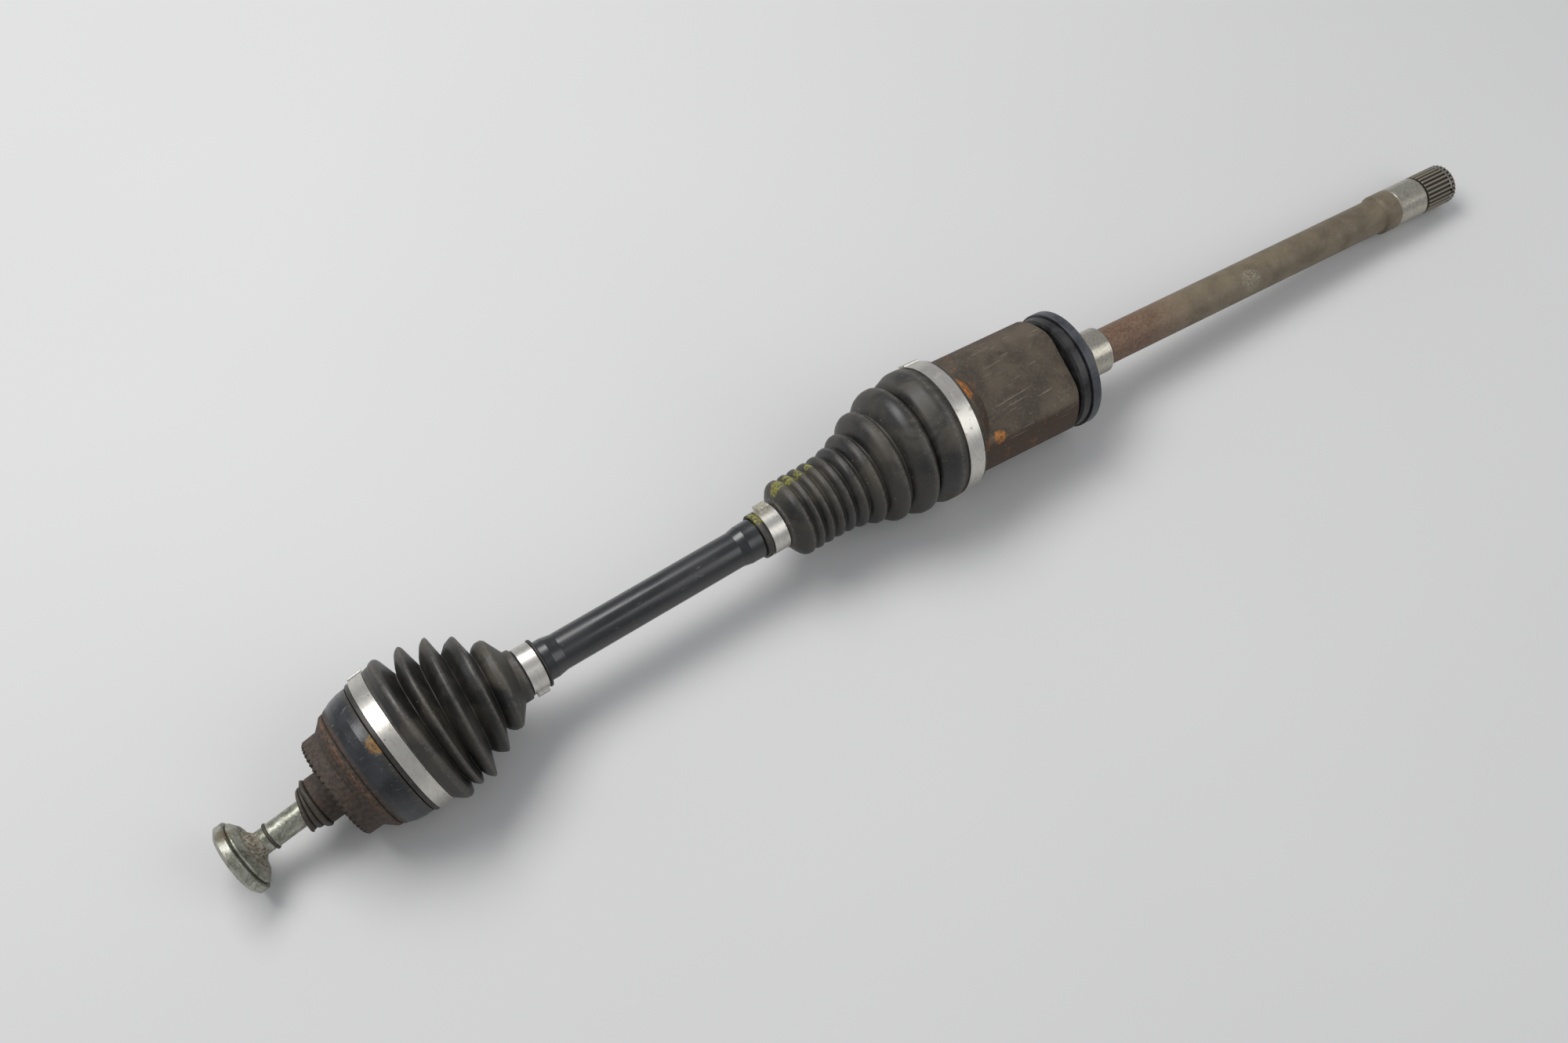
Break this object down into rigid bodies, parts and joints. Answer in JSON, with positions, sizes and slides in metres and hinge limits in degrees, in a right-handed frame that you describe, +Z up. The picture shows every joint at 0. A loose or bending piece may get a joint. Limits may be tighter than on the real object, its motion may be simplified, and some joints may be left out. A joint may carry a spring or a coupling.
{
  "type": "drive shaft",
  "caption": "Front-axle drive shaft: constant-velocity ball joint, bar, plunging tripod joint under rubber boots, and a long splined stub shaft.",
  "frame": {"origin": "on the floor under the middle of the shaft as it lies", "axes": "+X runs along the bar from the wheel end to the gearbox end, +Y is away from the viewer, +Z is up"},
  "size_m": [0.9758, 0.097, 0.096],
  "materials": {
    "band_steel": "satin",
    "bearing_steel": "polished",
    "black_paint": "glossy",
    "blued_steel": "dull",
    "boot_rubber": "dusty",
    "hardened_steel": "ground",
    "rusty_forging": "rough",
    "rusty_steel": "rough",
    "seal_rubber": "dull",
    "zinc": "dull"
  },
  "bodies": {
    "bar": {"bar_shaft": "black_paint", "inner_race": "hardened_steel", "race_circlip": "band_steel", "tripod_spider": "hardened_steel", "spider_circlip": "band_steel", "outer_boot_small_clamp": "band_steel", "inner_boot_small_clamp": "band_steel"},
    "wheel_side": {"wheel_joint_housing": "rusty_forging", "hub_bolt": "zinc", "bolt_washer": "zinc", "bolt_o_ring": "seal_rubber", "nose_seal": "seal_rubber", "outer_boot_large_clamp": "band_steel", "outer_boot": "boot_rubber"},
    "cage": {"ball_cage": "hardened_steel"},
    "ball_1": {"ball_1": "bearing_steel"},
    "ball_2": {"ball_2": "bearing_steel"},
    "ball_3": {"ball_3": "bearing_steel"},
    "ball_4": {"ball_4": "bearing_steel"},
    "ball_5": {"ball_5": "bearing_steel"},
    "ball_6": {"ball_6": "bearing_steel"},
    "carriage_1": {"roller_ring_1": "hardened_steel", "needles_1": "bearing_steel"},
    "roller_1": {"roller_1": "hardened_steel"},
    "carriage_2": {"roller_ring_2": "hardened_steel", "needles_2": "bearing_steel"},
    "roller_2": {"roller_2": "hardened_steel"},
    "carriage_3": {"roller_ring_3": "hardened_steel", "needles_3": "bearing_steel"},
    "roller_3": {"roller_3": "hardened_steel"},
    "gearbox_side": {"tulip_shaft": "rusty_steel", "dust_ring": "blued_steel", "end_circlip": "band_steel", "inner_boot_large_clamp": "band_steel", "inner_boot": "boot_rubber"}
  },
  "joints": [
    {"name": "outer_bend", "type": "hinge", "parent": "bar", "child": "wheel_side", "pos_m": [-0.38544, -0.0006, 0.04265], "axis": [-0.0006, -0.9918, 0.1275], "range_deg": [-56.7, 33.2], "deforming": ["outer_boot"]},
    {"name": "cage_turn", "type": "hinge", "parent": "bar", "child": "cage", "pos_m": [-0.38544, -0.0006, 0.04265], "axis": [-0.0006, -0.9918, 0.1275], "range_deg": [-28.9, 17.1]},
    {"name": "ball_1_roll", "type": "hinge", "parent": "bar", "child": "ball_1", "pos_m": [-0.38544, -0.0006, 0.04265], "axis": [-0.0045, -0.3855, 0.9227], "range_deg": [-15, 9]},
    {"name": "ball_2_roll", "type": "hinge", "parent": "bar", "child": "ball_2", "pos_m": [-0.38544, -0.0006, 0.04265], "axis": [-0.0006, -0.9918, 0.1275], "range_deg": [-28.9, 17.1]},
    {"name": "ball_3_roll", "type": "hinge", "parent": "bar", "child": "ball_3", "pos_m": [-0.38544, -0.0006, 0.04265], "axis": [0.0039, -0.6063, -0.7952], "range_deg": [-15, 9]},
    {"name": "ball_4_roll", "type": "hinge", "parent": "bar", "child": "ball_4", "pos_m": [-0.38544, -0.0006, 0.04265], "axis": [0.0045, 0.3855, -0.9227], "range_deg": [-9, 15]},
    {"name": "ball_5_roll", "type": "hinge", "parent": "bar", "child": "ball_5", "pos_m": [-0.38544, -0.0006, 0.04265], "axis": [0.0006, 0.9918, -0.1275], "range_deg": [-17.1, 28.9]},
    {"name": "ball_6_roll", "type": "hinge", "parent": "bar", "child": "ball_6", "pos_m": [-0.38544, -0.0006, 0.04265], "axis": [-0.0039, 0.6063, 0.7952], "range_deg": [-9, 15]},
    {"name": "inner_bend", "type": "hinge", "parent": "bar", "child": "carriage_1", "pos_m": [0.05554, -0.02695, 0.04766], "axis": [0.0021, 0.9033, -0.429], "range_deg": [-20.7, 11.2]},
    {"name": "plunge", "type": "slide", "parent": "carriage_1", "child": "gearbox_side", "axis": [0.9969, -0.0357, -0.0703], "range_m": [-0.012, 0.012], "deforming": ["inner_boot"]},
    {"name": "carriage_2_slide", "type": "slide", "parent": "carriage_1", "child": "carriage_2", "axis": [0.9969, -0.0357, -0.0703], "range_m": [-0.00329, 0.00187]},
    {"name": "carriage_3_slide", "type": "slide", "parent": "carriage_1", "child": "carriage_3", "axis": [0.9969, -0.0357, -0.0703], "range_m": [-0.00695, 0.01267]},
    {"name": "roller_1_spin", "type": "hinge", "parent": "carriage_1", "child": "roller_1", "pos_m": [0.05554, -0.02695, 0.04766], "axis": [-0.0279, -0.9937, 0.109], "range_deg": [-50, 50]},
    {"name": "roller_2_spin", "type": "hinge", "parent": "carriage_2", "child": "roller_2", "pos_m": [0.05567, 0.01008, 0.02052], "axis": [-0.0499, 0.4044, -0.9132], "range_deg": [-50, 50]},
    {"name": "roller_3_spin", "type": "hinge", "parent": "carriage_3", "child": "roller_3", "pos_m": [0.05546, 0.0151, 0.06629], "axis": [0.0778, 0.5892, 0.8042], "range_deg": [-50, 50]}
  ],
  "couplings": [
    {"joint": "cage_turn", "follows": "outer_bend", "ratio": 0.5},
    {"joint": "ball_1_roll", "follows": "outer_bend", "ratio": 0.256},
    {"joint": "ball_2_roll", "follows": "outer_bend", "ratio": 0.5},
    {"joint": "ball_3_roll", "follows": "outer_bend", "ratio": 0.256},
    {"joint": "ball_4_roll", "follows": "outer_bend", "ratio": -0.256},
    {"joint": "ball_5_roll", "follows": "outer_bend", "ratio": -0.5},
    {"joint": "ball_6_roll", "follows": "outer_bend", "ratio": -0.256},
    {"joint": "carriage_2_slide", "follows": "inner_bend", "m_per_rad": 0.008543},
    {"joint": "carriage_3_slide", "follows": "inner_bend", "m_per_rad": -0.034513},
    {"joint": "roller_1_spin", "follows": "plunge", "rad_per_m": 70.422},
    {"joint": "roller_2_spin", "follows": "plunge", "rad_per_m": 70.422},
    {"joint": "roller_3_spin", "follows": "plunge", "rad_per_m": 70.422}
  ]
}
